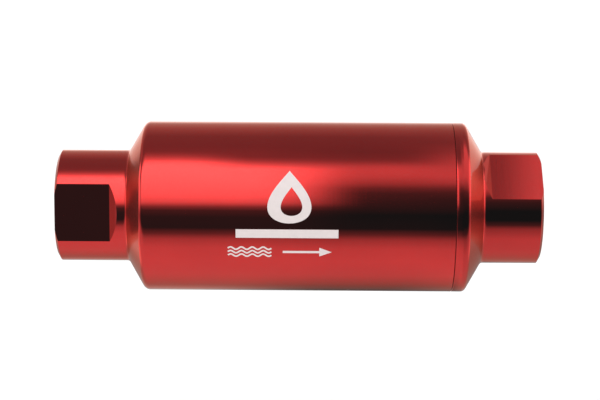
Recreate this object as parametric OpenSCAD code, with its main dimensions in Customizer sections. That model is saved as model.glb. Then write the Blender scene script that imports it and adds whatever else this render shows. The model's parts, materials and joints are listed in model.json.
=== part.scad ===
// In-line fuel filter: a turned and anodised housing with a screwed outlet cap,
// and a pleated stainless element that a spring holds against the cap.
// The flow runs along +X. The origin is on the axis, midway between the two end faces.

/* [Housing] */
// Outside diameter of the housing
body_d = 50.8; // [50:0.1:52]
// Distance between the two end faces
overall_length = 143.8; // [143.3:0.1:149]
// Length of the inlet boss, from its end face to the root of its cone
inlet_boss_length = 21.1; // [20.9:0.1:22]
// Length of the outlet boss, from its end face to the root of its cone
outlet_boss_length = 17.5; // [17:0.1:18]
// Outside diameter of both bosses
boss_d = 33.3; // [32.5:0.1:34.5]
// Angle between each shoulder cone and the axis
cone_angle = 60; // [58:1:62]
// Inside diameter of the element chamber
chamber_d = 43.6; // [43:0.1:44]

/* [Wrench flats] */
// Distance across each pair of wrench flats
across_flats = 28.575; // [28:0.005:29]
// Length of the inlet flats
inlet_flat_length = 16.2; // [15:0.1:17]
// Length of the outlet flats
outlet_flat_length = 15.2; // [14:0.1:15.6]
// Angle from the inlet flats to the outlet flats when the cap is tight
cap_angle = 48.7; // [0:0.1:90]

/* [Ports] */
// Major diameter of the port thread, 7/8 inch with 14 threads per inch
port_d = 22.225; // [22:0.005:22.5]
// Diameter of the tapered seal seat where it meets the end face
seat_d = 23.98; // [23.9:0.01:24.2]
// Depth of the tapered seal seat
seat_depth = 2.5; // [2.4:0.1:2.8]
// Depth of the full port thread below the end face
port_depth = 16.7; // [16.5:0.1:16.9]
// Diameter of the fuel passage behind each port
passage_d = 15.8; // [15:0.1:16.2]

/* [Cap thread] */
// Major diameter of the cap thread
cap_thread_d = 46.04; // [45.9:0.01:46.2]
// Height of the cap thread
cap_thread_height = 0.86; // [0.8:0.01:0.9]
// Length of the thread on the cap
cap_thread_length = 10; // [9:0.5:10]
// Width of the cap's outer rim
cap_rim = 3.8; // [3.2:0.1:4]

/* [Element] */
// Number of pleats in the media
pleats = 32; // [24:1:34]
// Radius of the pleat tips, at the middle of the media
pleat_tip_r = 18.2; // [17.5:0.1:18.2]
// Radius of the pleat valleys, at the middle of the media
pleat_valley_r = 11; // [11:0.1:11.5]
// Thickness of each of the three woven layers
layer_t = 0.12; // [0.1:0.01:0.15]
// Number of rows of holes in the core tube
core_rows = 12; // [8:1:12]

/* [Spring] */
// Diameter of the spring wire
wire_d = 1.4; // [1.2:0.1:1.5]
// Radius of the coils, at the middle of the wire
coil_r = 9.7; // [9.5:0.1:9.8]
// Number of turns
coil_turns = 4.5; // [4:0.5:5]

/* [Hidden] */
$fn = 128;

// Outside of the housing and the cap, along the axis
body_r = body_d / 2;
boss_r = boss_d / 2;
cone_length = (body_r - boss_r) / tan(cone_angle);
inlet_face = -overall_length / 2;
outlet_face = overall_length / 2;
inlet_root = inlet_face + inlet_boss_length;
inlet_shoulder = inlet_root + cone_length;
outlet_root = outlet_face - outlet_boss_length;
outlet_shoulder = outlet_root - cone_length;
seam = outlet_shoulder - cap_rim;
seam_gap = 0.15;
seam_chamfer = 0.25;
face_chamfer = 1.45;
inlet_shoulder_round = 2.2;
outlet_shoulder_round = 1.6;
root_round = 1.3;
edge_round = 0.25;
arc_steps = 6;

// Ports and passages
port_r = port_d / 2;
passage_r = passage_d / 2;
seat_angle = 12;
drill_angle = 59;
seat_bottom_r = seat_d / 2 - seat_depth * tan(seat_angle);
drill_depth = (port_r - passage_r) / tan(drill_angle);

// Inside of the housing
chamber_r = chamber_d / 2;
cap_thread_r = cap_thread_d / 2;
land_bore_r = 23.6;
land_depth = 4.5;
mouth_chamfer = 0.4;
female_length = cap_thread_length + 1;
spring_seat = inlet_face + 22.5;
spring_seat_r = 11.6;
spring_seat_depth = 2.5;
floor_length = 6.3;
floor_round = 2;
washer_t = 0.8;
washer_r = 11.4;

// Cap, inside the housing
male_root_r = cap_thread_r - 0.04 - cap_thread_height;
land_r = 23.5;
land_length = 4;
gland_width = 2.4;
gland_inset = 0.9;
gland_r = 22.2;
skirt_bore_r = 19.9;
cap_floor = seam - 7.85;
skirt_end = seam - land_length - 0.5 - cap_thread_length;
spigot_r = 9.6;
spigot_end = cap_floor - 6.5;
lead_in = 0.5;

// O-rings, both of 1.78 mm section, squeezed flat on their sealing faces
o_ring_section = 1.78;
running_gap = 0.05;

// Element, from its closed inlet end to its open outlet end
plate_r = 19.4;
lip_t = 0.6;
lip_length = 4;
outlet_plate_t = 5;
inlet_plate_t = 3;
element_end = cap_floor - 0.05;
media_end = element_end - outlet_plate_t;
media_start = media_end - 66;
element_start = media_start - inlet_plate_t;
core_bore_r = spigot_r + 0.1;
core_r = core_bore_r + 0.7;
core_hole_d = 3.6;
core_holes_around = 8;
core_hole_margin = 5.5;
pilot_r = 8.4;
pilot_length = 3;
element_gland_r = spigot_r + 1.4;
potting_depth = 3.2;
potting_base = 0.6;
potting_gap = 0.03;
mesh_start = media_start + potting_base + potting_gap;
mesh_length = media_end - media_start - 2 * (potting_base + potting_gap);

// Pleated media: half the width of a fold, and the middle of each layer
fold_half = 0.55;
layer_gap = 0.03;
layer_step = layer_t + layer_gap;
pack_half = layer_step + layer_t / 2;

// Clip that closes the seam of the pleated media, over one fold
clip_gap = 0.05;
clip_t = 0.3;
clip_depth = 4.5;
clip_margin = 4.3;

// Spring between the washer and the element
spring_start = spring_seat + washer_t;
spring_length = element_start - spring_start;
coil_steps = 20;
wire_sides = 8;
end_pitch = wire_d + 0.05;

red = [0.70, 0.05, 0.05];
steel = [0.72, 0.72, 0.70];
mesh_steel = [0.60, 0.60, 0.58];
plate_alloy = [0.80, 0.80, 0.82];
rubber = [0.06, 0.06, 0.06];
epoxy = [0.25, 0.26, 0.27];

// Points of a rounded corner at b, between a and c
function unit(v) = v / norm(v);
function rounded(a, b, c, r) =
    let (u = unit(a - b), v = unit(c - b))
    let (half = acos(u * v) / 2)
    let (middle = b + unit(u + v) * r / sin(half))
    let (first = b + u * r / tan(half) - middle)
    let (turn = sign(u[0] * v[1] - u[1] * v[0]) * (2 * half - 180))
    [for (i = [0 : arc_steps])
        let (angle = turn * i / arc_steps)
        middle + [first[0] * cos(angle) - first[1] * sin(angle),
                  first[0] * sin(angle) + first[1] * cos(angle)]];

// A closed outline from corners of [distance along the axis, radius, rounding]
function outline(corners) =
    let (n = len(corners))
    [for (i = [0 : n - 1])
        let (here = corners[i], before = corners[(i + n - 1) % n], after = corners[(i + 1) % n])
        let (b = [here[0], here[1]])
        for (p = here[2] == 0 ? [b] :
                 rounded([before[0], before[1]], b, [after[0], after[1]], here[2])) p];

// Turns an outline about the X axis
module turned(corners) {
    rotate([90, 0, 90])
        rotate_extrude()
            polygon([for (p = outline(corners)) [p[1], p[0]]]);
}

// A tube or a disc along X
module tube(start, end, outer, inner = 0) {
    translate([start, 0, 0])
        rotate([0, 90, 0])
            difference() {
                cylinder(r = outer, h = end - start);
                if (inner > 0)
                    translate([0, 0, -1])
                        cylinder(r = inner, h = end - start + 2);
            }
}

// Corners of a port, from the fuel passage out to the seal seat at the end face
function port(face, inward) =
    [[face + inward * (port_depth + drill_depth), passage_r, 0],
     [face + inward * port_depth, port_r, 0],
     [face + inward * (seat_depth + seat_bottom_r - port_r), port_r, 0],
     [face + inward * seat_depth, seat_bottom_r, 0],
     [face, seat_d / 2, 0]];

// Corners of a boss and its cone, from the end face to the shoulder
function boss(face, root, shoulder, shoulder_round, inward) =
    [[face, boss_r - face_chamfer, edge_round],
     [face + inward * face_chamfer * tan(30), boss_r, edge_round],
     [root, boss_r, root_round],
     [shoulder, body_r, shoulder_round]];

// Cutters for two wrench flats on opposite sides, each ending in a ramp at 45 degrees
module flats_cutter(face, length, inward, angle) {
    flat = across_flats / 2;
    ramp = boss_r + 0.04 - flat;
    rotate([angle, 0, 0])
        for (side = [0, 180])
            rotate([side, 0, 0])
                translate([0, 0, -boss_r])
                    linear_extrude(2 * boss_r)
                        polygon([[face - inward, -flat],
                                 [face + inward * length, -flat],
                                 [face + inward * (length + ramp), -flat - ramp],
                                 [face - inward, -flat - ramp]]);
}

// A squeezed O-ring: a round section cut flat on its inner and outer faces
module o_ring(at, inner, outer) {
    translate([at, 0, 0])
        rotate([0, 90, 0])
            rotate_extrude()
                intersection() {
                    translate([(inner + outer) / 2, 0])
                        circle(d = o_ring_section, $fn = 48);
                    translate([inner, -o_ring_section])
                        square([outer - inner, 2 * o_ring_section]);
                }
}

module housing() {
    color(red)
        difference() {
            turned(concat(
                port(inlet_face, 1),
                boss(inlet_face, inlet_root, inlet_shoulder, inlet_shoulder_round, 1),
                [[seam - seam_chamfer, body_r, 0],
                 [seam, body_r - seam_chamfer, 0],
                 [seam, land_bore_r + mouth_chamfer, 0],
                 [seam - mouth_chamfer / tan(30), land_bore_r, 0],
                 [seam - land_depth, land_bore_r, 0],
                 [seam - land_depth - (land_bore_r - cap_thread_r), cap_thread_r, 0],
                 [seam - land_depth - female_length, cap_thread_r, 0],
                 [seam - land_depth - female_length - (cap_thread_r - chamber_r), chamber_r, 0],
                 [spring_seat + spring_seat_depth + floor_length, chamber_r, floor_round],
                 [spring_seat + spring_seat_depth, spring_seat_r, 0],
                 [spring_seat, spring_seat_r, 0],
                 [spring_seat, passage_r, 0]]));
            flats_cutter(inlet_face, inlet_flat_length, 1, 0);
        }
}

module outlet_cap() {
    gland = seam - gland_inset;
    color(red)
        difference() {
            turned(concat(
                port(outlet_face, -1),
                boss(outlet_face, outlet_root, outlet_shoulder, outlet_shoulder_round, -1),
                [[seam + seam_gap + seam_chamfer, body_r, 0],
                 [seam + seam_gap, body_r - seam_chamfer, 0],
                 [seam + seam_gap, land_r, 0],
                 [gland, land_r, 0],
                 [gland, gland_r, 0],
                 [gland - gland_width, gland_r, 0],
                 [gland - gland_width, land_r, 0],
                 [seam - land_length + 0.2, land_r, 0],
                 [seam - land_length, land_r - 0.2, 0],
                 [seam - land_length, male_root_r, 0],
                 [skirt_end + lead_in, male_root_r, 0],
                 [skirt_end, male_root_r - lead_in, 0],
                 [skirt_end, skirt_bore_r, 0],
                 [cap_floor, skirt_bore_r, 0],
                 [cap_floor, spigot_r, 0],
                 [spigot_end + lead_in, spigot_r, 0],
                 [spigot_end, spigot_r - lead_in, 0],
                 [spigot_end, passage_r, 0]]));
            flats_cutter(outlet_face, outlet_flat_length, -1, -cap_angle);
        }
}

module cap_o_ring() {
    color(rubber)
        o_ring(seam - gland_inset - gland_width / 2, gland_r, land_bore_r - running_gap);
}

module spring_washer() {
    color(steel)
        tube(spring_seat, spring_start, washer_r, passage_r + 0.2);
}

// Distance of the wire's middle from the washer, after so many turns
function coil_rise(turn) =
    let (first = min(turn, 1), last = max(turn - (coil_turns - 1), 0))
    let (middle = turn - first - last)
    let (open_pitch = (spring_length - wire_d - 2 * end_pitch) / (coil_turns - 2))
    wire_d / 2 + end_pitch * (first + last) + open_pitch * middle;

module spring() {
    rings = coil_turns * coil_steps;
    points = [for (i = [0 : rings])
        let (turn = i / coil_steps, around = 360 * turn)
        for (k = [0 : wire_sides - 1])
            let (side = 360 * k / wire_sides)
            let (r = coil_r + wire_d / 2 * cos(side))
            [spring_start + coil_rise(turn) + wire_d / 2 * sin(side), r * cos(around), r * sin(around)]];
    walls = [for (i = [0 : rings - 1], k = [0 : wire_sides - 1])
        let (a = i * wire_sides + k, b = i * wire_sides + (k + 1) % wire_sides)
        for (face = [[a, b, b + wire_sides], [a, b + wire_sides, a + wire_sides]]) face];
    ends = [[for (k = [wire_sides - 1 : -1 : 0]) k],
            [for (k = [0 : wire_sides - 1]) rings * wire_sides + k]];
    color(steel)
        polyhedron(points, concat(walls, ends));
}

// The closed plate, with a lip round the media and a pilot for the spring
module inlet_end_plate() {
    color(plate_alloy)
        turned([[element_start - pilot_length, 0, 0],
                [element_start - pilot_length, pilot_r - lead_in, 0],
                [element_start - pilot_length + lead_in, pilot_r, 0],
                [element_start, pilot_r, 0],
                [element_start, plate_r, 0.6],
                [media_start + lip_length, plate_r, 0],
                [media_start + lip_length, plate_r - lip_t, 0],
                [media_start, plate_r - lip_t, 0],
                [media_start, 0, 0]]);
}

// The open plate, with a bore for the cap's spigot and a groove for its O-ring
module outlet_end_plate() {
    middle = (media_end + element_end) / 2;
    color(plate_alloy)
        turned([[element_end, core_bore_r + lead_in, 0],
                [element_end, plate_r, 0.6],
                [media_end - lip_length, plate_r, 0],
                [media_end - lip_length, plate_r - lip_t, 0],
                [media_end, plate_r - lip_t, 0],
                [media_end, core_bore_r, 0],
                [middle - gland_width / 2, core_bore_r, 0],
                [middle - gland_width / 2, element_gland_r, 0],
                [middle + gland_width / 2, element_gland_r, 0],
                [middle + gland_width / 2, core_bore_r, 0],
                [element_end - lead_in, core_bore_r, 0]]);
}

module element_o_ring() {
    color(rubber)
        o_ring((media_end + element_end) / 2, spigot_r + running_gap, element_gland_r);
}

// Rows of holes, each row turned by half a step from the last
module core_tube() {
    pitch = (media_end - media_start - 2 * core_hole_margin) / (core_rows - 1);
    color(steel)
        difference() {
            tube(media_start, media_end, core_r, core_bore_r);
            for (row = [0 : core_rows - 1])
                for (k = [0 : core_holes_around - 1])
                    translate([media_start + core_hole_margin + row * pitch, 0, 0])
                        rotate([360 / core_holes_around * (k + (row % 2) / 2), 0, 0])
                            translate([0, 0, core_bore_r - 1])
                                cylinder(d = core_hole_d, h = 3, $fn = 24);
        }
}

// The outline of the folded media, moved outwards by d from its middle
function pleat_outline(d) =
    [for (k = [0 : pleats - 1])
        let (tip = 360 * k / pleats, valley = 360 * (k + 0.5) / pleats)
        for (p = [[pleat_tip_r + d, -fold_half - d, tip],
                  [pleat_tip_r + d, fold_half + d, tip],
                  [pleat_valley_r + d, -(fold_half - d), valley],
                  [pleat_valley_r + d, fold_half - d, valley]])
            [p[0] * cos(p[2]) - p[1] * sin(p[2]), p[0] * sin(p[2]) + p[1] * cos(p[2])]];

module along_axis(start, length) {
    translate([start, 0, 0])
        rotate([90, 0, 90])
            linear_extrude(length)
                children();
}

// One woven layer of the media, centred at a distance from the middle of the pack
module pleated_layer(d) {
    difference() {
        along_axis(mesh_start, mesh_length)
            polygon(pleat_outline(d + layer_t / 2));
        along_axis(mesh_start - 1, mesh_length + 2)
            polygon(pleat_outline(d - layer_t / 2));
    }
}

module inner_support_mesh() {
    color(mesh_steel)
        pleated_layer(-layer_step);
}

module filter_mesh() {
    color(steel)
        pleated_layer(0);
}

module outer_support_mesh() {
    color(mesh_steel)
        pleated_layer(layer_step);
}

// A folded strip over the one fold where the ends of the media meet
module seam_clip() {
    half = fold_half + pack_half + clip_gap + 0.1;
    top = pleat_tip_r + pack_half + clip_gap;
    color(steel)
        along_axis(media_start + clip_margin, media_end - media_start - 2 * clip_margin)
            difference() {
                translate([top - clip_depth, -half - clip_t])
                    square([clip_depth + clip_t, 2 * (half + clip_t)]);
                translate([top - clip_depth - 1, -half])
                    square([clip_depth + 1, 2 * half]);
            }
}

// Resin that fills an end plate's lip: a base against the plate, and a filling on both
// sides of the folded media that stands in it
module potting(face, inward) {
    start = min(face, face + inward * potting_depth);
    base = inward > 0 ? face - 1 : face - potting_base;
    difference() {
        tube(start, start + potting_depth, plate_r - lip_t - potting_gap, core_r + potting_gap);
        difference() {
            along_axis(start - 1, potting_depth + 2)
                polygon(pleat_outline(pack_half + potting_gap));
            along_axis(start - 2, potting_depth + 4)
                polygon(pleat_outline(-pack_half - potting_gap));
            translate([base, -body_r, -body_r])
                cube([potting_base + 1, body_d, body_d]);
        }
    }
}

module inlet_potting() {
    color(epoxy)
        potting(media_start, 1);
}

module outlet_potting() {
    color(epoxy)
        potting(media_end, -1);
}

housing();
spring_washer();
spring();
inlet_end_plate();
outlet_end_plate();
element_o_ring();
core_tube();
inner_support_mesh();
filter_mesh();
outer_support_mesh();
seam_clip();
inlet_potting();
outlet_potting();
cap_o_ring();
outlet_cap();
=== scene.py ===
import json
import math
import bmesh
import bpy
from mathutils import Matrix, Vector
from mathutils.bvhtree import BVHTree
from mathutils.interpolate import poly_3d_calc


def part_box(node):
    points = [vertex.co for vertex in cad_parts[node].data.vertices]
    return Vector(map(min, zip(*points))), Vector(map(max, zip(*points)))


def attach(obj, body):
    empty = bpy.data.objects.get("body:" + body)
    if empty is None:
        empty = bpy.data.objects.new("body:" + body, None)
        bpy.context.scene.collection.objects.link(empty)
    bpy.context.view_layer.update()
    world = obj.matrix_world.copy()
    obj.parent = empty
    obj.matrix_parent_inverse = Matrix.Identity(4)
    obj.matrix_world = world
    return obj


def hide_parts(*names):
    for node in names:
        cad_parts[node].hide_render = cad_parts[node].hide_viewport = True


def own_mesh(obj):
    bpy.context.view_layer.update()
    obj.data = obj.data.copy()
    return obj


# Everything is built in millimetres and scaled to metres at the end
MM = 0.001
# Points round a turned piece, and steps in a rounded corner
AROUND = 256
ARC_STEPS = 6

# Places along the axis, in millimetres, from the CAD nodes and the record
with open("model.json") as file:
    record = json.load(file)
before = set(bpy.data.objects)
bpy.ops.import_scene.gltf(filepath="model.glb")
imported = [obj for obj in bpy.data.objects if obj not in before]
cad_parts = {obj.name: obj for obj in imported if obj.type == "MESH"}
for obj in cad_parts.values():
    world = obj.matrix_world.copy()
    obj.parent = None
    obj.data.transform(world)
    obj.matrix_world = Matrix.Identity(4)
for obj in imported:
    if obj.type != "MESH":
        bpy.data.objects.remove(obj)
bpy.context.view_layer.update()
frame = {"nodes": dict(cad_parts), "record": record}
housing_low, housing_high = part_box("housing")
cap_low, cap_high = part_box("outlet_cap")
inlet_face = housing_low.x / MM
seam = housing_high.x / MM
outlet_face = cap_high.x / MM
skirt_end = cap_low.x / MM
body_r = housing_high.y / MM
mounts = {m["name"]: m for m in frame["record"]["mounts"]}
port_r = mounts["inlet_port"]["dims"]["r_mm"]
ACROSS_FLATS = 28.575
flat_distance = ACROSS_FLATS / 2
outlet_flat_axis = mounts["outlet_wrench_flats"]["axis"]
washer_low, washer_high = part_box("spring_washer")
closed_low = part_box("inlet_end_plate")[0]
open_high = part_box("outlet_end_plate")[1]
weave_low, weave_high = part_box("outer_support_mesh")

# The outside of the housing and the cap
INK = 0.02  # thickness of the print on the barrel
skin_r = body_r - 2 * INK
BOSS_R = 16.65
INLET_BOSS = 21.1  # from the end face to the root of the cone
OUTLET_BOSS = 17.5
CONE_ANGLE = math.radians(60)  # between the cone and the axis
cone_length = (body_r - BOSS_R) / math.tan(CONE_ANGLE)
FACE_CHAMFER = 1.45  # across the end face
FACE_CHAMFER_ANGLE = math.radians(30)
FINE_EDGE = 0.25
INLET_ROUND = 2.2  # between the cone and the barrel
OUTLET_ROUND = 1.6
ROOT_ROUND = 1.3  # between the cone and the boss
INLET_FLAT = 16.2  # length of the wrench flats
OUTLET_FLAT = 15.2
SEAM_GAP = 0.15
inlet_root = inlet_face + INLET_BOSS
inlet_shoulder = inlet_root + cone_length
outlet_root = outlet_face - OUTLET_BOSS
outlet_shoulder = outlet_root - cone_length

# Element: end plates, folds of the media, and the spring
PLATE_R = 19.4
LIP = 0.6  # thickness of the lip round the media
LIP_LENGTH = 4
OPEN_PLATE = 5  # thickness of the plate at the outlet
CLOSED_PLATE = 3
PILOT = 3  # length of the pilot that centres the spring
PILOT_R = 8.4
CORE_BORE_R = 9.7
PLATE_GLAND_R = 11.0
PLEATS = 32
TIP_R = 18.2
VALLEY_R = 11
FOLD_HALF = 0.55  # half the width of a fold
OUTER_LAYER = 0.15  # from the middle of the media to its outer layer
FOLD_ROUND = 0.28
MESH_WIRE = 0.05  # half the thickness of a wire
MESH_PITCH = 1.0
WIRE_R = 0.7
COIL_R = 9.7
COIL_TURNS = 4.5

# Ports, passages, threads and seals
SEAT_R = 11.99
SEAT_DEPTH = 2.5
SEAT_ANGLE = math.radians(12)  # between the seat and the axis
seat_bottom_r = SEAT_R - SEAT_DEPTH * math.tan(SEAT_ANGLE)
PORT_DEPTH = 16.7
PASSAGE_R = 7.9
DRILL_ANGLE = math.radians(59)  # half the angle of the drill's point
drill_depth = (port_r - PASSAGE_R) / math.tan(DRILL_ANGLE)
CAP_THREAD_R = 23.02
CAP_ROOT_R = 22.12
LAND_BORE_R = 23.6
LAND_BORE = 4.5  # length of the bore over the cap's land
MOUTH = 0.4  # height of the lead-in to that bore
MOUTH_DEPTH = 0.7
BROKEN_EDGE = 0.05
LAND_R = 23.5
LAND = 4  # length of the land
LAND_EDGE = 0.2
GLAND_R = 22.2
GLAND = 2.4  # width of the groove for an O-ring
GLAND_INSET = 0.9  # from the seam to the groove
THREAD_BORE = 11  # length of the threaded bore
CHAMBER_R = 21.8
FLOOR_LENGTH = 6.3  # of the taper at the inlet end of the chamber
FLOOR_ROUND = 2
STEP_R = 11.6  # of the step for the washer
STEP_DEPTH = 2.5
WASHER_BORE_R = 8.1
SKIRT_BORE_R = 19.9
SPIGOT_R = 9.6
SPIGOT = 6.5  # length of the spigot
LEAD_IN = 0.5  # chamfer on the parts that slide in
SECTION_R = 0.89  # of both O-rings
GAP = 0.05  # between parts that rest on each other
INCH = 25.4
PORT_PITCH = INCH / 14
CAP_PITCH = INCH / 16
PORT_THREAD_DEPTH = 0.95
PORT_THREAD_START = 3.6  # from the end face
PORT_THREAD_LENGTH = 12.2
THREAD_GAP = 0.06  # between a crest and the root that it faces
CAP_THREAD_INSET = 0.9  # from the end of the skirt
CAP_THREAD_LENGTH = 8.6
HOUSING_THREAD_LENGTH = 9.6
cap_thread_start = skirt_end + CAP_THREAD_INSET


def unit(v):
    """The vector with a length of 1."""
    return v / v.length


def rounded(a, b, c, radius):
    """Points of an arc that rounds the corner at b, between a and c."""
    u, v = unit(a - b), unit(c - b)
    half = math.acos(max(-1, min(1, u.dot(v)))) / 2
    middle = b + unit(u + v) * radius / math.sin(half)
    first = b + u * radius / math.tan(half) - middle
    turn = math.copysign(math.pi - 2 * half, -(u.x * v.y - u.y * v.x))
    points = []
    for i in range(ARC_STEPS + 1):
        angle = turn * i / ARC_STEPS
        cos, sin = math.cos(angle), math.sin(angle)
        points.append(middle + Vector((first.x * cos - first.y * sin, first.x * sin + first.y * cos)))
    return points


def outline(corners):
    """A closed outline from corners of (distance along the axis, radius, rounding)."""
    points = []
    for i, (x, r, rounding) in enumerate(corners):
        here = Vector((x, r))
        if rounding == 0:
            points.append(here)
            continue
        before = Vector(corners[i - 1][:2])
        after = Vector(corners[(i + 1) % len(corners)][:2])
        points += rounded(before, here, after, rounding)
    return points


def new_object(name, bm, smooth_angle=35):
    """An object in metres, with faces outward and edges sharper than the angle kept crisp."""
    bmesh.ops.recalc_face_normals(bm, faces=bm.faces)
    if bm.calc_volume(signed=True) < 0:
        bmesh.ops.reverse_faces(bm, faces=bm.faces)
    mesh = bpy.data.meshes.new(name)
    bm.to_mesh(mesh)
    bm.free()
    mesh.transform(Matrix.Scale(MM, 4))
    for polygon in mesh.polygons:
        polygon.use_smooth = True
    mesh.set_sharp_from_angle(angle=math.radians(smooth_angle))
    obj = bpy.data.objects.new(name, mesh)
    bpy.context.scene.collection.objects.link(obj)
    return obj


def sweep(bm, rings, closed_path=True):
    """Joins rings of points with quads, and caps the ends of an open path."""
    made = [[bm.verts.new(p) for p in ring] for ring in rings]
    count = len(made[0])
    for i in range(len(made) if closed_path else len(made) - 1):
        here, there = made[i], made[(i + 1) % len(made)]
        for k in range(count):
            n = (k + 1) % count
            bm.faces.new((here[k], here[n], there[n], there[k]))
    if not closed_path:
        bm.faces.new(made[0])
        bm.faces.new(list(reversed(made[-1])))


def on_axis(x, r, angle):
    """A point at a radius and an angle round the X axis."""
    return Vector((x, r * math.cos(angle), r * math.sin(angle)))


def lathe(name, corners):
    """Turns a closed outline about the X axis. Points at radius 0 become one tip."""
    bm = bmesh.new()
    points = outline(corners)
    angles = [2 * math.pi * i / AROUND for i in range(AROUND)]
    sweep(bm, [[on_axis(p.x, p.y, a) for p in points] for a in angles])
    bmesh.ops.remove_doubles(bm, verts=bm.verts, dist=1e-5)
    return new_object(name, bm)


def applied(obj):
    """Replaces the object's mesh by the one its modifiers give."""
    graph = bpy.context.evaluated_depsgraph_get()
    mesh = bpy.data.meshes.new_from_object(obj.evaluated_get(graph))
    obj.modifiers.clear()
    obj.data = mesh


def keep_normals(obj, turned):
    """Shades what is left of the turned surface as it was before milling, and the milled faces flat."""
    # How far off the turned surface a milled face is, and how far into a face its corners are read
    nudge = 0.001
    tree = BVHTree.FromPolygons([v.co for v in turned.vertices],
                                [p.vertices for p in turned.polygons])
    corner_normals = [Vector(n.vector) for n in turned.corner_normals]
    mesh = obj.data
    normals = [None] * len(mesh.loops)
    for polygon in mesh.polygons:
        milled = tree.find_nearest(polygon.center)[3] > nudge * MM
        for loop in polygon.loop_indices:
            if milled:
                normals[loop] = polygon.normal
                continue
            point = mesh.vertices[mesh.loops[loop].vertex_index].co
            where, _, index, _ = tree.find_nearest(point.lerp(polygon.center, nudge))
            face = turned.polygons[index]
            weights = poly_3d_calc([turned.vertices[v].co for v in face.vertices], where)
            normal = Vector()
            for weight, corner in zip(weights, face.loop_indices):
                normal += corner_normals[corner] * weight
            normals[loop] = normal.normalized()
    mesh.normals_split_custom_set(normals)


def cut_flats(obj, face, length, inward, turn):
    """Mills two opposite flats, each ending in a ramp at 45 degrees."""
    clear = 0.04
    rise = BOSS_R + clear - flat_distance
    outer = flat_distance + rise
    ends = [(face - inward, flat_distance), (face + inward * length, flat_distance),
            (face + inward * (length + rise), outer), (face - inward, outer)]
    turned = obj.data.copy()
    for side in (0, math.pi):
        bm = bmesh.new()
        sweep(bm, [[Vector((x, -d, z)) for x, d in ends] for z in (-BOSS_R, BOSS_R)],
              closed_path=False)
        bm.transform(Matrix.Rotation(turn + side, 4, "X"))
        cutter = new_object("cutter", bm)
        boolean = obj.modifiers.new("flat", "BOOLEAN")
        boolean.operation = "DIFFERENCE"
        boolean.solver = "EXACT"
        boolean.object = cutter
        applied(obj)
        bpy.data.objects.remove(cutter)
    keep_normals(obj, turned)


def port(face, inward):
    """The corners from the passage out to the face: tap drill, thread bore and cone seat."""
    return [(face + inward * (PORT_DEPTH + drill_depth), PASSAGE_R, 0),
            (face + inward * PORT_DEPTH, port_r, 0),
            (face + inward * (SEAT_DEPTH + seat_bottom_r - port_r), port_r, 0),
            (face + inward * SEAT_DEPTH, seat_bottom_r, 0),
            (face, SEAT_R, 0)]


def boss(face, root, shoulder, shoulder_round, inward):
    """The corners of a boss and of the cone up to the barrel."""
    return [(face, BOSS_R - FACE_CHAMFER, FINE_EDGE),
            (face + inward * FACE_CHAMFER * math.tan(FACE_CHAMFER_ANGLE), BOSS_R, FINE_EDGE),
            (root, BOSS_R, ROOT_ROUND),
            (shoulder, skin_r, shoulder_round)]


def make_housing():
    """The inlet boss, the barrel, and the chamber for the element."""
    floor = washer_low.x / MM
    bore_end = seam - LAND_BORE - THREAD_BORE
    corners = port(inlet_face, 1)
    corners += boss(inlet_face, inlet_root, inlet_shoulder, INLET_ROUND, 1)
    # The end at the seam, with a lead-in to the bore for the cap's land
    corners += [(seam - BROKEN_EDGE, skin_r, 0), (seam, skin_r - BROKEN_EDGE, 0),
                (seam, LAND_BORE_R + MOUTH, 0), (seam - MOUTH_DEPTH, LAND_BORE_R, 0),
                (seam - LAND_BORE, LAND_BORE_R, 0)]
    # The bore for the cap's thread, with a chamfer of 45 degrees at both ends
    corners += [(seam - LAND_BORE - (LAND_BORE_R - CAP_THREAD_R), CAP_THREAD_R, 0),
                (bore_end, CAP_THREAD_R, 0),
                (bore_end - (CAP_THREAD_R - CHAMBER_R), CHAMBER_R, 0)]
    # The tapered floor of the chamber, and the step that the washer stands in
    corners += [(floor + STEP_DEPTH + FLOOR_LENGTH, CHAMBER_R, FLOOR_ROUND),
                (floor + STEP_DEPTH, STEP_R, 0), (floor, STEP_R, 0), (floor, PASSAGE_R, 0)]
    obj = lathe("housing_shell", corners)
    cut_flats(obj, inlet_face, INLET_FLAT, 1, 0)
    return obj


def make_cap():
    """The outlet boss, the threaded skirt, and the spigot."""
    floor = open_high.x / MM + GAP
    gland = seam - GLAND_INSET
    corners = port(outlet_face, -1)
    corners += boss(outlet_face, outlet_root, outlet_shoulder, OUTLET_ROUND, -1)
    # The rim at the seam, and the land with the groove for the O-ring
    corners += [(seam + SEAM_GAP, skin_r, FINE_EDGE), (seam + SEAM_GAP, LAND_R, 0),
                (gland, LAND_R, 0), (gland, GLAND_R, 0),
                (gland - GLAND, GLAND_R, 0), (gland - GLAND, LAND_R, 0),
                (seam - LAND + LAND_EDGE, LAND_R, 0), (seam - LAND, LAND_R - LAND_EDGE, 0)]
    # The threaded skirt and its bore
    corners += [(seam - LAND, CAP_ROOT_R, 0), (skirt_end + LEAD_IN, CAP_ROOT_R, 0),
                (skirt_end, CAP_ROOT_R - LEAD_IN, 0), (skirt_end, SKIRT_BORE_R, 0),
                (floor, SKIRT_BORE_R, 0)]
    # The spigot that carries the element
    corners += [(floor, SPIGOT_R, 0), (floor - SPIGOT + LEAD_IN, SPIGOT_R, 0),
                (floor - SPIGOT, SPIGOT_R - LEAD_IN, 0), (floor - SPIGOT, PASSAGE_R, 0)]
    obj = lathe("cap_shell", corners)
    turn = math.atan2(outlet_flat_axis[2], outlet_flat_axis[1]) - math.pi
    cut_flats(obj, outlet_face, OUTLET_FLAT, -1, turn)
    return obj


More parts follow.
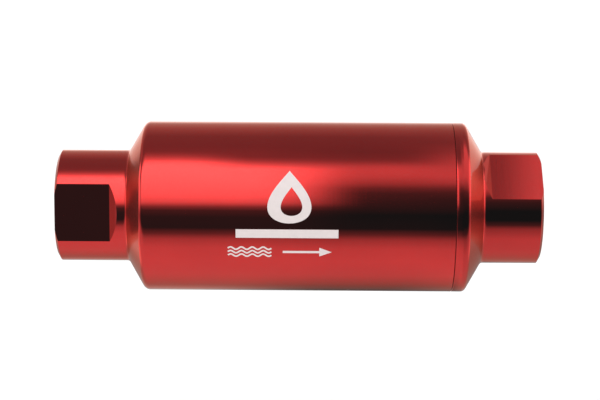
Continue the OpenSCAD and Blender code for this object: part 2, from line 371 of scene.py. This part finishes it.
def make_thread(name, root, crest, pitch, start, length):
    """A helical ridge from the root radius to the crest, fading in and out at its ends."""
    steps = 72
    run_out = 0.35
    lowest = 0.02
    # Half the width of the ridge at its foot and at its tip
    foot, tip = 0.42 * pitch, 0.08 * pitch
    # The foot is set a little into the wall
    sunk = 0.05
    inset = root - math.copysign(sunk, crest - root)
    turns = length / pitch
    bm = bmesh.new()
    rings = []
    for i in range(int(turns * steps) + 1):
        turn = i / steps
        fade = min(1, turn / run_out, (turns - turn) / run_out)
        x = start + pitch * turn
        angle = 2 * math.pi * turn
        top = root + (crest - root) * max(lowest, fade)
        rings.append([on_axis(x - foot, inset, angle), on_axis(x - tip, top, angle),
                      on_axis(x + tip, top, angle), on_axis(x + foot, inset, angle)])
    sweep(bm, rings, closed_path=False)
    return new_object(name, bm)


def make_ring(name, node, inner, outer):
    """An O-ring in the place of a node, pressed flat at its inner and outer radius."""
    low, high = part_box(node)
    middle = (low.x + high.x) / 2 / MM
    centre = (inner + outer) / 2
    half = (outer - inner) / 2
    sides = 24
    bm = bmesh.new()
    rings = []
    for i in range(AROUND):
        angle = 2 * math.pi * i / AROUND
        ring = []
        for k in range(sides):
            a = 2 * math.pi * k / sides
            r = centre + max(-half, min(half, SECTION_R * math.sin(a)))
            ring.append(on_axis(middle + SECTION_R * math.cos(a), r, angle))
        rings.append(ring)
    sweep(bm, rings)
    return new_object(name, bm, smooth_angle=60)


def make_closed_plate():
    """The inlet end plate: a pilot for the spring, a disc, and a lip round the media."""
    start = closed_low.x / MM
    disc = start + PILOT
    inside = disc + CLOSED_PLATE
    return lathe("closed_plate", [
        (start, 0, 0), (start, PILOT_R, 0.5), (disc, PILOT_R, 0.3), (disc, PLATE_R, 0.6),
        (inside + LIP_LENGTH, PLATE_R, 0.2), (inside + LIP_LENGTH, PLATE_R - LIP, 0.2),
        (inside, PLATE_R - LIP, 0), (inside, 0, 0)])


def make_open_plate():
    """The outlet end plate: a bore for the cap's spigot, with a groove for its O-ring."""
    end = open_high.x / MM
    inside = end - OPEN_PLATE
    middle = (inside + end) / 2
    return lathe("open_plate", [
        (end, CORE_BORE_R + LEAD_IN, 0), (end, PLATE_R, 0.6),
        (inside - LIP_LENGTH, PLATE_R, 0.2), (inside - LIP_LENGTH, PLATE_R - LIP, 0.2),
        (inside, PLATE_R - LIP, 0), (inside, CORE_BORE_R, 0),
        (middle - GLAND / 2, CORE_BORE_R, 0), (middle - GLAND / 2, PLATE_GLAND_R, 0),
        (middle + GLAND / 2, PLATE_GLAND_R, 0), (middle + GLAND / 2, CORE_BORE_R, 0),
        (end - LEAD_IN, CORE_BORE_R, 0)])


def make_washer():
    """The flat washer that the spring stands on."""
    start, end = washer_low.x / MM, washer_high.x / MM
    outer = washer_high.y / MM
    return lathe("washer", [(start, WASHER_BORE_R, 0.15), (start, outer, 0.2),
                            (end, outer, 0.2), (end, WASHER_BORE_R, 0.15)])


def make_spring():
    """A round wire wound with one closed turn at each end, from the washer to the element."""
    start = washer_high.x / MM
    length = closed_low.x / MM + PILOT - start
    end_pitch = 2 * WIRE_R + GAP
    open_pitch = (length - 2 * WIRE_R - 2 * end_pitch) / (COIL_TURNS - 2)
    steps, sides = 64, 16
    # The last rings at each end get thinner, which rounds off the wire
    taper = (1, 0.85, 0.6, 0.25)
    taper_step = 0.012
    count = int(COIL_TURNS * steps)
    bm = bmesh.new()
    rings = []
    for i in range(1 - len(taper), count + len(taper)):
        turn = min(count, max(0, i)) / steps
        past = max(0, -i, i - count)
        thin = taper[past]
        angle = 2 * math.pi * turn + math.copysign(past * taper_step, i)
        first, last = min(turn, 1), max(turn - (COIL_TURNS - 1), 0)
        x = start + WIRE_R + end_pitch * (first + last) + open_pitch * (turn - first - last)
        rings.append([on_axis(x + WIRE_R * thin * math.sin(2 * math.pi * k / sides),
                              COIL_R + WIRE_R * thin * math.cos(2 * math.pi * k / sides), angle)
                      for k in range(sides)])
    sweep(bm, rings, closed_path=False)
    return new_object("coil_spring", bm, smooth_angle=60)


def fold_path(offset):
    """The path of one layer round all the folds, as points of (y, z), with rounded corners."""
    corners = []
    for k in range(PLEATS):
        for r, half, angle in ((TIP_R + offset, FOLD_HALF + offset, k),
                               (VALLEY_R + offset, offset - FOLD_HALF, k + 0.5)):
            angle *= 2 * math.pi / PLEATS
            out = Vector((math.cos(angle), math.sin(angle)))
            across = Vector((-out.y, out.x))
            corners += [out * r - across * half, out * r + across * half]
    points = []
    for i, corner in enumerate(corners):
        after = corners[(i + 1) % len(corners)]
        arc = rounded(corners[i - 1], corner, after, FOLD_ROUND)
        points += [arc[0], arc[ARC_STEPS // 2], arc[-1]]
    return points


def make_weave():
    """The outer woven layer: wires round the folds, and wires along the axis between them."""
    start, end = weave_low.x / MM + MESH_WIRE, weave_high.x / MM - MESH_WIRE
    path = fold_path(OUTER_LAYER)
    inner, outer = fold_path(OUTER_LAYER - MESH_WIRE), fold_path(OUTER_LAYER + MESH_WIRE)
    points, faces = [], []
    rows = round((end - start) / MESH_PITCH)
    n = len(path)
    for row in range(rows + 1):
        x = start + (end - start) * row / rows
        first = len(points)
        for i, p in enumerate(path):
            points += [(x - MESH_WIRE, *p), (x, *outer[i]), (x + MESH_WIRE, *p), (x, *inner[i])]
            here, there = first + 4 * i, first + 4 * ((i + 1) % n)
            faces += [(here + k, here + (k + 1) % 4, there + (k + 1) % 4, there + k)
                      for k in range(4)]
    along = MESH_PITCH / 2
    for i, p in enumerate(path):
        side = path[(i + 1) % n] - p
        while along < side.length:
            middle = p + side * (along / side.length)
            reach = unit(side) * MESH_WIRE
            normal = Vector((reach.y, -reach.x))
            first = len(points)
            for x in (start - MESH_WIRE, end + MESH_WIRE):
                points += [(x, *(middle + d)) for d in (reach, normal, -reach, -normal)]
            faces += [(first + k, first + (k + 1) % 4, first + 4 + (k + 1) % 4, first + 4 + k)
                      for k in range(4)]
            faces += [(first, first + 1, first + 2, first + 3),
                      (first + 7, first + 6, first + 5, first + 4)]
            along += MESH_PITCH
        along -= side.length
    bm = bmesh.new()
    verts = [bm.verts.new(p) for p in points]
    for face in faces:
        bm.faces.new([verts[i] for i in face])
    return new_object("support_weave", bm, smooth_angle=80)


# Materials

def shader(name, **values):
    """A new material with values set on its Principled BSDF."""
    material = bpy.data.materials.new(name)
    material.use_nodes = True
    bsdf = material.node_tree.nodes["Principled BSDF"]
    for key, value in values.items():
        bsdf.inputs[key.replace("_", " ")].default_value = value
    return material, material.node_tree, bsdf


def add(tree, kind, **values):
    """A new node with its properties and input values set."""
    node = tree.nodes.new(kind)
    for key, value in values.items():
        if hasattr(node, key):
            setattr(node, key, value)
        else:
            node.inputs[key.replace("_", " ")].default_value = value
    return node


def noise(tree, stretch):
    """Noise in object space, with its own scale along each axis."""
    coordinates = add(tree, "ShaderNodeTexCoord")
    mapping = add(tree, "ShaderNodeMapping")
    mapping.inputs["Scale"].default_value = stretch
    texture = add(tree, "ShaderNodeTexNoise", Scale=1.0, Detail=4.0, Roughness=0.6)
    tree.links.new(coordinates.outputs["Object"], mapping.inputs["Vector"])
    tree.links.new(mapping.outputs["Vector"], texture.inputs["Vector"])
    return texture.outputs["Fac"]


def ramp(tree, factor, low, high):
    """A colour between low and high."""
    node = add(tree, "ShaderNodeValToRGB")
    node.color_ramp.elements[0].position = 0.3
    node.color_ramp.elements[1].position = 0.7
    node.color_ramp.elements[0].color = (*low, 1)
    node.color_ramp.elements[1].color = (*high, 1)
    tree.links.new(factor, node.inputs["Fac"])
    return node.outputs["Color"]


def span(tree, factor, low, high):
    """The factor from 0 to 1 as a value from low to high."""
    node = add(tree, "ShaderNodeMapRange")
    node.inputs["To Min"].default_value = low
    node.inputs["To Max"].default_value = high
    tree.links.new(factor, node.inputs["Value"])
    return node.outputs["Result"]


def bump(tree, bsdf, height, strength, distance):
    """Joins a height to the normal of the shader."""
    node = add(tree, "ShaderNodeBump", Strength=strength, Distance=distance)
    tree.links.new(height, node.inputs["Height"])
    tree.links.new(node.outputs["Normal"], bsdf.inputs["Normal"])


def math_node(tree, operation, first, second=None):
    """The result of one operation on sockets or numbers."""
    node = add(tree, "ShaderNodeMath", operation=operation)
    for socket, value in zip(node.inputs, (first, second)):
        if isinstance(value, (int, float)):
            socket.default_value = value
        elif value is not None:
            tree.links.new(value, socket)
    return node.outputs[0]


def mixed(tree, factor, first, second):
    """A colour that goes from first to second as the factor goes from 0 to 1."""
    node = add(tree, "ShaderNodeMix", data_type="RGBA")
    for socket, value in ((node.inputs[0], factor), (node.inputs[6], first), (node.inputs[7], second)):
        if isinstance(value, tuple):
            socket.default_value = value
        else:
            tree.links.new(value, socket)
    return node.outputs[2]


def eased(tree, value, start, end):
    """A smooth step from 0 to 1 between start and end."""
    node = add(tree, "ShaderNodeMapRange", interpolation_type="SMOOTHSTEP")
    node.inputs["From Min"].default_value = start
    node.inputs["From Max"].default_value = end
    tree.links.new(value, node.inputs["Value"])
    return node.outputs["Result"]


FACED_ROUGH = 0.28


def turned_metal(name, low, high, rough, coat=0.0, marks=0.15, rim=(1, 1, 1), faced=None):
    """Metal with fine turning marks round the X axis, coarser on the cones and the end faces."""
    material, tree, bsdf = shader(name, Metallic=1.0, Coat_Weight=coat, Coat_Roughness=0.03)
    bsdf.inputs["Specular Tint"].default_value = (*rim, 1)
    lines = noise(tree, (9000, 30, 30))
    cloud = noise(tree, (60, 60, 60))
    facing = add(tree, "ShaderNodeSeparateXYZ")
    coordinates = add(tree, "ShaderNodeTexCoord")
    tree.links.new(coordinates.outputs["Normal"], facing.inputs[0])
    slant = math_node(tree, "ABSOLUTE", facing.outputs["X"])
    steep = eased(tree, slant, 0.82, 0.86)
    colour = ramp(tree, cloud, low, high)
    if faced:
        colour = mixed(tree, steep, colour, (*faced, 1))
    tree.links.new(colour, bsdf.inputs["Base Color"])
    fine = span(tree, lines, rough * 0.7, rough * 1.3)
    blunt = math_node(tree, "ADD", fine, math_node(tree, "MULTIPLY", slant, 0.05))
    tree.links.new(math_node(tree, "ADD", blunt, math_node(tree, "MULTIPLY", steep, FACED_ROUGH)),
                   bsdf.inputs["Roughness"])
    # The grooves run round the axis, so they spread the light along it
    around = add(tree, "ShaderNodeVectorMath", operation="CROSS_PRODUCT")
    around.inputs[0].default_value = (1, 0, 0)
    tree.links.new(coordinates.outputs["Object"], around.inputs[1])
    tree.links.new(around.outputs["Vector"], bsdf.inputs["Tangent"])
    bsdf.inputs["Anisotropic Rotation"].default_value = 0.25
    tree.links.new(math_node(tree, "MULTIPLY", steep, 0.9), bsdf.inputs["Anisotropic"])
    bump(tree, bsdf, lines, marks, 0.00001)
    return material


def plain(name, low, high, rough, metallic=0.0):
    """An even material with a fine grain in its colour and roughness."""
    material, tree, bsdf = shader(name, Metallic=metallic)
    grains = noise(tree, (400, 400, 400))
    tree.links.new(ramp(tree, grains, low, high), bsdf.inputs["Base Color"])
    tree.links.new(span(tree, grains, rough * 0.8, rough * 1.2), bsdf.inputs["Roughness"])
    bump(tree, bsdf, grains, 0.2, 0.00002)
    return material


RED = turned_metal("red_anodised", (0.54, 0.020, 0.018), (0.58, 0.022, 0.020), 0.045,
                   coat=0.4, rim=(0.92, 0.66, 0.53), faced=(0.42, 0.075, 0.055))
CLEAR = turned_metal("clear_anodised", (0.62, 0.62, 0.64), (0.70, 0.70, 0.72), 0.28)
STEEL = turned_metal("stainless_steel", (0.50, 0.50, 0.48), (0.60, 0.60, 0.58), 0.25)
WIRE = plain("woven_wire", (0.42, 0.42, 0.40), (0.58, 0.58, 0.55), 0.3, metallic=1.0)
FINE = turned_metal("fine_weave", (0.30, 0.29, 0.27), (0.48, 0.47, 0.44), 0.35, marks=0.6)
SPRING = plain("spring_steel", (0.40, 0.40, 0.40), (0.50, 0.50, 0.50), 0.25, metallic=1.0)
RUBBER = plain("black_rubber", (0.010, 0.010, 0.010), (0.016, 0.016, 0.016), 0.5)
RESIN = plain("grey_epoxy", (0.05, 0.055, 0.06), (0.08, 0.085, 0.09), 0.35)
INK_WHITE = plain("white_ink", (0.67, 0.60, 0.59), (0.72, 0.64, 0.63), 0.45)


def place(obj, body, material, slot, *nodes):
    """Gives an object its material and its body, and hides the nodes it stands for. The slot is not
    used.
    """
    obj.data.materials.clear()
    obj.data.materials.append(material)
    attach(obj, body)
    if nodes:
        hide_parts(*nodes)
    return obj


# The printed marks: shapes in the plane of (x, distance round the barrel), in millimetres

def stroke(points, width):
    """The outline of a line of even width with mitred corners."""
    sharpest = 0.3
    points = [Vector(p) for p in points]
    left, right = [], []
    for i, p in enumerate(points):
        before = unit(p - points[i - 1]) if i else unit(points[1] - p)
        after = unit(points[i + 1] - p) if i + 1 < len(points) else before
        normal = unit(Vector((-before.y - after.y, before.x + after.x)))
        reach = width / 2 / max(sharpest, normal.dot(Vector((-before.y, before.x))))
        left.append(p + normal * reach)
        right.append(p - normal * reach)
    return left + right[::-1]


def arrow(length, head, width, weight):
    """The outline of a plain arrow that points along X."""
    neck = length - head
    upper = [(0, weight / 2), (neck, weight / 2), (neck, width / 2), (length, 0)]
    return [Vector(p) for p in upper] + [Vector((x, -y)) for x, y in upper[2::-1]]


def drop(x, y, width, height):
    """A plain drop of fuel with its point up."""
    count = 64
    taper = 1.3
    points = []
    for i in range(count):
        a = 2 * math.pi * i / count
        points.append(Vector((x + width / 2 * math.sin(a) * math.sin(a / 2) ** taper,
                              y + height / 2 * math.cos(a))))
    return points


def wave(y, length, height, periods, weight):
    """A plain wavy line, as a sign for fuel."""
    count = 24 * periods
    points = [(length * i / count, y + height / 2 * math.sin(2 * math.pi * periods * i / count))
              for i in range(count + 1)]
    return stroke(points, weight)


def printed(name, shapes, offset_x, angle):
    """Fills the shapes, gives them thickness, and wraps them on the barrel from that angle up."""
    weld = 0.001
    strip = 0.5
    curve = bpy.data.curves.new(name, "CURVE")
    curve.dimensions = "2D"
    curve.fill_mode = "BOTH"
    curve.extrude = INK / 2
    for shape in shapes:
        spline = curve.splines.new("POLY")
        spline.points.add(len(shape) - 1)
        for point, p in zip(spline.points, shape):
            point.co = (p.x, p.y, 0, 1)
        spline.use_cyclic_u = True
    holder = bpy.data.objects.new(name, curve)
    bpy.context.scene.collection.objects.link(holder)
    graph = bpy.context.evaluated_depsgraph_get()
    mesh = bpy.data.meshes.new_from_object(holder.evaluated_get(graph))
    bpy.data.objects.remove(holder)
    bm = bmesh.new()
    bm.from_mesh(mesh)
    bmesh.ops.remove_doubles(bm, verts=bm.verts, dist=weld)
    low = min(v.co.y for v in bm.verts)
    high = max(v.co.y for v in bm.verts)
    for i in range(1, int((high - low) / strip)):
        bmesh.ops.bisect_plane(bm, geom=bm.verts[:] + bm.edges[:] + bm.faces[:],
                               plane_co=(0, low + strip * i, 0), plane_no=(0, 1, 0))
    bmesh.ops.remove_doubles(bm, verts=bm.verts, dist=weld)
    bmesh.ops.dissolve_degenerate(bm, edges=bm.edges, dist=weld)
    for v in bm.verts:
        around = math.radians(angle) + v.co.y / body_r
        r = skin_r + INK + v.co.z
        v.co = Vector((v.co.x + offset_x, -r * math.cos(around), r * math.sin(around)))
    return new_object(name, bm)


place(make_housing(), "housing", RED, "red_anodised", "housing")
place(make_cap(), "outlet_cap", RED, "red_anodised", "outlet_cap")
place(make_ring("cap_seal_ring", "cap_o_ring", GLAND_R, LAND_BORE_R - GAP),
      "cap_seal", RUBBER, "black_rubber", "cap_o_ring")
place(make_ring("element_seal_ring", "element_o_ring", SPIGOT_R + GAP, PLATE_GLAND_R),
      "element", RUBBER, "black_rubber", "element_o_ring")
place(make_washer(), "housing", STEEL, "stainless_steel", "spring_washer")
place(make_closed_plate(), "element", CLEAR, "clear_anodised", "inlet_end_plate")
place(make_open_plate(), "element", CLEAR, "clear_anodised", "outlet_end_plate")
place(make_weave(), "element", WIRE, "support_mesh", "outer_support_mesh")
coil = place(make_spring(), "spring", SPRING, "spring_steel", "spring")
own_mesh(coil)
place(make_thread("inlet_port_thread", port_r, port_r - PORT_THREAD_DEPTH, PORT_PITCH,
                  inlet_face + PORT_THREAD_START, PORT_THREAD_LENGTH),
      "housing", RED, "red_anodised")
place(make_thread("outlet_port_thread", port_r, port_r - PORT_THREAD_DEPTH, PORT_PITCH,
                  outlet_face - PORT_THREAD_START - PORT_THREAD_LENGTH, PORT_THREAD_LENGTH),
      "outlet_cap", RED, "red_anodised")
place(make_thread("cap_thread", CAP_ROOT_R, CAP_THREAD_R - THREAD_GAP, CAP_PITCH,
                  cap_thread_start, CAP_THREAD_LENGTH), "outlet_cap", RED, "red_anodised")
place(make_thread("housing_thread", CAP_THREAD_R, CAP_ROOT_R + THREAD_GAP, CAP_PITCH,
                  cap_thread_start - CAP_PITCH / 2, HOUSING_THREAD_LENGTH),
      "housing", RED, "red_anodised")

# The print: signs for fuel and for the way it flows, and an emblem with a bar
FLOW_ANGLE = -22.2
waves = [wave(y, length=12.6, height=0.8, periods=4, weight=0.5) for y in (-1.2, 0, 1.2)]
place(printed("fuel_waves", waves, offset_x=-20.4, angle=FLOW_ANGLE), "housing", INK_WHITE, None)
flow = [arrow(length=14.2, head=3.6, width=3.0, weight=0.75)]
place(printed("flow_arrow", flow, offset_x=-4.5, angle=FLOW_ANGLE), "housing", INK_WHITE, None)
drops = [drop(-2.6, 0, width=17.5, height=15.6), drop(-2.0, -1.4, width=8.6, height=8.4)]
place(printed("emblem", drops, offset_x=0, angle=15.6), "housing", INK_WHITE, None)
bar = [stroke([(-18.1, 0), (11.6, 0)], width=2.6)]
place(printed("emblem_bar", bar, offset_x=0, angle=-9.0), "housing", INK_WHITE, None)

# The pieces that keep their CAD mesh
for node, material in (("core_tube", STEEL), ("inner_support_mesh", WIRE), ("filter_mesh", FINE),
                       ("seam_clip", STEEL), ("inlet_potting", RESIN), ("outlet_potting", RESIN)):
    mesh = frame["nodes"][node].data
    mesh.materials.clear()
    mesh.materials.append(material)
bevel = frame["nodes"]["seam_clip"].modifiers.new("edges", "BEVEL")
bevel.width = 0.06 * MM
bevel.segments = 2


# Studio: what a glossy surface sees round it, as stops of (angle in degrees, brightness).
# The angle goes up from the front horizon, over the top, to the horizon behind at 180.

LEFT_LIGHT = ((-180, 1.4), (-173, 1.0), (-165, 0.4), (-150, 0.62), (-128, 0.56), (-98, 0.93),
              (-70, 1.0), (-50, 0.94), (-37, 0.66), (-29, 0.20), (-21, 0.025), (-6, 0.03), (3, 0.09),
              (8, 0.37), (14, 1.35), (24, 2.1), (41, 2.7), (60, 3.2), (66, 3.0), (70, 2.4),
              (74, 1.35), (79, 0.75), (84, 0.45), (88, 0.33), (97, 0.29), (118, 0.31), (128, 0.40),
              (143, 0.53), (160, 0.65), (168, 1.2), (180, 1.4))
# The same, with the light's upper edge lower down
LOWER_LIGHT = tuple(stop for stop in LEFT_LIGHT if stop[0] < 60) + (
    (60, 3.0), (63, 2.2), (66, 1.5), (70, 0.90), (74, 0.53), (79, 0.35)) + tuple(
        stop for stop in LEFT_LIGHT if stop[0] > 87)
MIDDLE_LIGHT = ((-180, 1.2), (-173, 0.9), (-165, 0.2), (-150, 0.12), (-128, 0.36), (-98, 0.83),
                (-70, 0.97), (-50, 0.88), (-37, 0.58), (-29, 0.17), (-21, 0.010), (-2, 0.004),
                (6, 0.025), (16, 0.05), (27, 0.09), (34, 0.22), (41, 0.56), (50, 0.87), (56, 0.96),
                (61, 0.95), (65, 0.82), (70, 0.53), (74, 0.36), (79, 0.29), (88, 0.25), (118, 0.30),
                (128, 0.39), (143, 0.50), (160, 0.65), (180, 1.3))
RIGHT_LIGHT = ((-180, 1.1), (-173, 0.8), (-165, 0.2), (-150, 0.31), (-128, 0.54), (-98, 0.95),
               (-70, 0.96), (-50, 0.84), (-37, 0.52), (-29, 0.11), (-21, 0.004), (-2, 0.000),
               (6, 0.02), (20, 0.045), (30, 0.12), (36, 0.30), (42, 0.66), (52, 0.92), (60, 0.86),
               (70, 0.80), (75, 0.79), (79, 0.70), (84, 0.62), (88, 0.53), (97, 0.42), (107, 0.32),
               (128, 0.40), (143, 0.50), (160, 0.65), (180, 1.3))
# The same, darker straight above
EDGE_LIGHT = tuple((angle, level * (0.6 if 75 < angle < 100 else 1)) for angle, level in RIGHT_LIGHT)
END_LIGHT = ((-180, 1.1), (-173, 0.7), (-165, 0.3), (-150, 0.50), (-128, 0.60), (-98, 0.80),
             (-60, 0.80), (-37, 0.45), (-28, 0.08), (-18, 0.002), (2, 0.002), (20, 0.05), (30, 0.14),
             (38, 0.45), (52, 0.95), (72, 1.05), (95, 1.05), (107, 0.5), (120, 0.32), (147, 0.55),
             (160, 0.75), (168, 1.25), (180, 1.6))
# Where each takes over from the one before it, as tangents of the angle to the right
BLENDS = ((LOWER_LIGHT, -0.14, -0.08), (MIDDLE_LIGHT, -0.09, 0.00), (RIGHT_LIGHT, 0.03, 0.09),
          (EDGE_LIGHT, 0.082, 0.092), (END_LIGHT, 0.092, 0.122))
# What is far to the left and to the right
LEFT_SIDE = ((-180, 1.3), (-150, 1.0), (-100, 0.9), (-60, 0.8), (-37, 0.5), (-27, 0.2), (-20, 0.08),
             (-10, 0.06), (0, 0.08), (6, 0.15), (12, 0.5), (20, 0.85), (40, 1.0), (58, 0.8),
             (75, 0.3), (90, 0.12), (165, 0.12), (180, 0.5))
RIGHT_SIDE = ((-180, 1.3), (-150, 1.0), (-100, 0.9), (-60, 0.7), (-37, 0.35), (-27, 0.18), (-20, 0.10),
              (-10, 0.12), (0, 0.16), (6, 0.2), (12, 0.3), (20, 0.42), (40, 0.8), (60, 1.5),
              (90, 2.0), (135, 1.8), (160, 1.5), (180, 1.4))
# What is behind, and at the very side, by the elevation
FAR_LIGHT = ((-90, 0.6), (-30, 1.4), (-20, 1.1), (-16, 0.9), (-10, 0.55), (-6, 0.45), (-2, 0.8),
             (3, 1.4), (8, 1.8), (15, 1.9), (40, 1.8), (90, 1.0))
# The same behind the left end, which is darker
CORNER_LIGHT = ((-90, 0.6), (-30, 1.4), (-20, 1.4), (-12, 0.9), (-6, 0.4), (3, 0.25), (12, 0.3),
                (25, 0.5), (90, 0.8))
# Where one part changes to the next, as (start, end) of the tangent to the right, of the tangent
# to either side for SIDE and VERY_SIDE, and of the part of the direction that points back for BEHIND
LEFT_TO_RIGHT = (-0.1, 0.1)
LEFT_END = (-1.9, -1.5)
LEFT_CORNER = (-0.75, -1.15)
SIDE = (1.0, 1.6)
VERY_SIDE = (2.0, 3.0)
BEHIND = (-0.05, 0.10)
# The highest of the stops, and the light for all but glossy rays
BRIGHTEST = 3.2
SURROUND = 1.25


def light_ramp(tree, turn, stops):
    """The brightness at a part of a full turn, where 0.5 is the front horizon."""
    node = add(tree, "ShaderNodeValToRGB")
    elements = node.color_ramp.elements
    while len(elements) < len(stops):
        elements.new(0.5)
    for element, (degrees, level) in zip(elements, stops):
        element.position = degrees / 360 + 0.5
        element.color = (*[level / BRIGHTEST] * 3, 1)
    tree.links.new(turn, node.inputs["Fac"])
    return node.outputs["Color"]


def part_of_turn(tree, angle):
    """An angle in radians as a part of a full turn, with 0 at 0.5."""
    turn = math_node(tree, "MULTIPLY_ADD", angle, 0.5 / math.pi)
    turn.node.inputs[2].default_value = 0.5
    return turn


def make_world():
    """A studio for the glossy rays, and an even white surround for all others."""
    world = bpy.data.worlds.new("studio")
    bpy.context.scene.world = world
    world.cycles.sampling_method = "NONE"
    world.use_nodes = True
    tree = world.node_tree
    background = tree.nodes["Background"]
    direction = add(tree, "ShaderNodeSeparateXYZ")
    tree.links.new(add(tree, "ShaderNodeTexCoord").outputs["Generated"], direction.inputs[0])
    x, y, z = direction.outputs
    angle = math_node(tree, "ARCTAN2", z, math_node(tree, "MULTIPLY", y, -1))
    turn = part_of_turn(tree, angle)
    reach = math_node(tree, "SQRT", math_node(tree, "SUBTRACT", 1, math_node(tree, "MULTIPLY", x, x)))
    slope = math_node(tree, "DIVIDE", x, reach)
    height = part_of_turn(tree, math_node(tree, "ARCSINE", z))
    tilt = math_node(tree, "ABSOLUTE", slope)
    # What is ahead, from left to right
    glow = light_ramp(tree, turn, LEFT_LIGHT)
    for stops, start, end in BLENDS:
        glow = mixed(tree, eased(tree, slope, start, end), glow, light_ramp(tree, turn, stops))
    # What is far to the side: in front, and behind, where the left end is darker
    front = mixed(tree, eased(tree, slope, *LEFT_TO_RIGHT), light_ramp(tree, turn, LEFT_SIDE),
                  light_ramp(tree, turn, RIGHT_SIDE))
    left_end = math_node(tree, "MULTIPLY", eased(tree, slope, *LEFT_END),
                         eased(tree, slope, *reversed(LEFT_TO_RIGHT)))
    back = mixed(tree, left_end, light_ramp(tree, height, FAR_LIGHT),
                 light_ramp(tree, height, CORNER_LIGHT))
    behind = math_node(tree, "MAXIMUM", eased(tree, y, *BEHIND), eased(tree, tilt, *VERY_SIDE))
    # It takes over past 45 degrees to the side, and behind the left end a little sooner
    left_corner = math_node(tree, "MULTIPLY", eased(tree, slope, *LEFT_CORNER), behind)
    to_side = math_node(tree, "MAXIMUM", eased(tree, tilt, *SIDE), left_corner)
    glow = mixed(tree, to_side, glow, mixed(tree, behind, front, back))
    # The ramps hold the brightness as a part of the brightest stop
    bright = add(tree, "ShaderNodeVectorMath", operation="SCALE")
    tree.links.new(glow, bright.inputs[0])
    bright.inputs["Scale"].default_value = BRIGHTEST
    glossy = add(tree, "ShaderNodeLightPath").outputs["Is Glossy Ray"]
    tree.links.new(mixed(tree, glossy, (SURROUND, SURROUND, SURROUND, 1), bright.outputs[0]),
                   background.inputs["Color"])


def make_floor():
    """A pale floor below the object, far larger than the picture."""
    size, depth = 4.0, 0.085
    mesh = bpy.data.meshes.new("floor")
    mesh.from_pydata([(-size, -size, -depth), (size, -size, -depth), (size, size, -depth),
                      (-size, size, -depth)], [], [(0, 1, 2, 3)])
    floor = bpy.data.objects.new("floor", mesh)
    bpy.context.scene.collection.objects.link(floor)
    material, tree, bsdf = shader("floor", Roughness=0.9)
    grain = noise(tree, (3, 3, 3))
    tree.links.new(ramp(tree, grain, (0.86, 0.86, 0.86), (0.9, 0.9, 0.9)), bsdf.inputs["Base Color"])
    mesh.materials.append(material)
    floor.visible_glossy = False


def make_camera():
    """A long lens from the front, looking down by about 9 degrees, with a small pan and roll."""
    data = bpy.data.cameras.new("camera")
    data.lens = 113.05
    data.sensor_width = 36
    data.clip_start = 0.01
    camera = bpy.data.objects.new("camera", data)
    bpy.context.scene.collection.objects.link(camera)
    camera.location = Vector((5.4, -560.1, 92.7)) * MM
    pan, tilt, roll = math.radians(0.53), math.radians(-9.4 + 0.19), math.radians(0.29)
    camera.rotation_euler = (Matrix.Rotation(pan, 3, "Z") @ Matrix.Rotation(math.pi / 2 + tilt, 3, "X")
                             @ Matrix.Rotation(roll, 3, "Z")).to_euler()
    bpy.context.scene.camera = camera


make_world()
make_floor()
make_camera()
# A little lift of the blacks
BLACK = -0.006
view = bpy.context.scene.view_settings
view.view_transform = "Standard"
view.use_curve_mapping = True
view.curve_mapping.black_level = (BLACK, BLACK, BLACK)
view.curve_mapping.update()
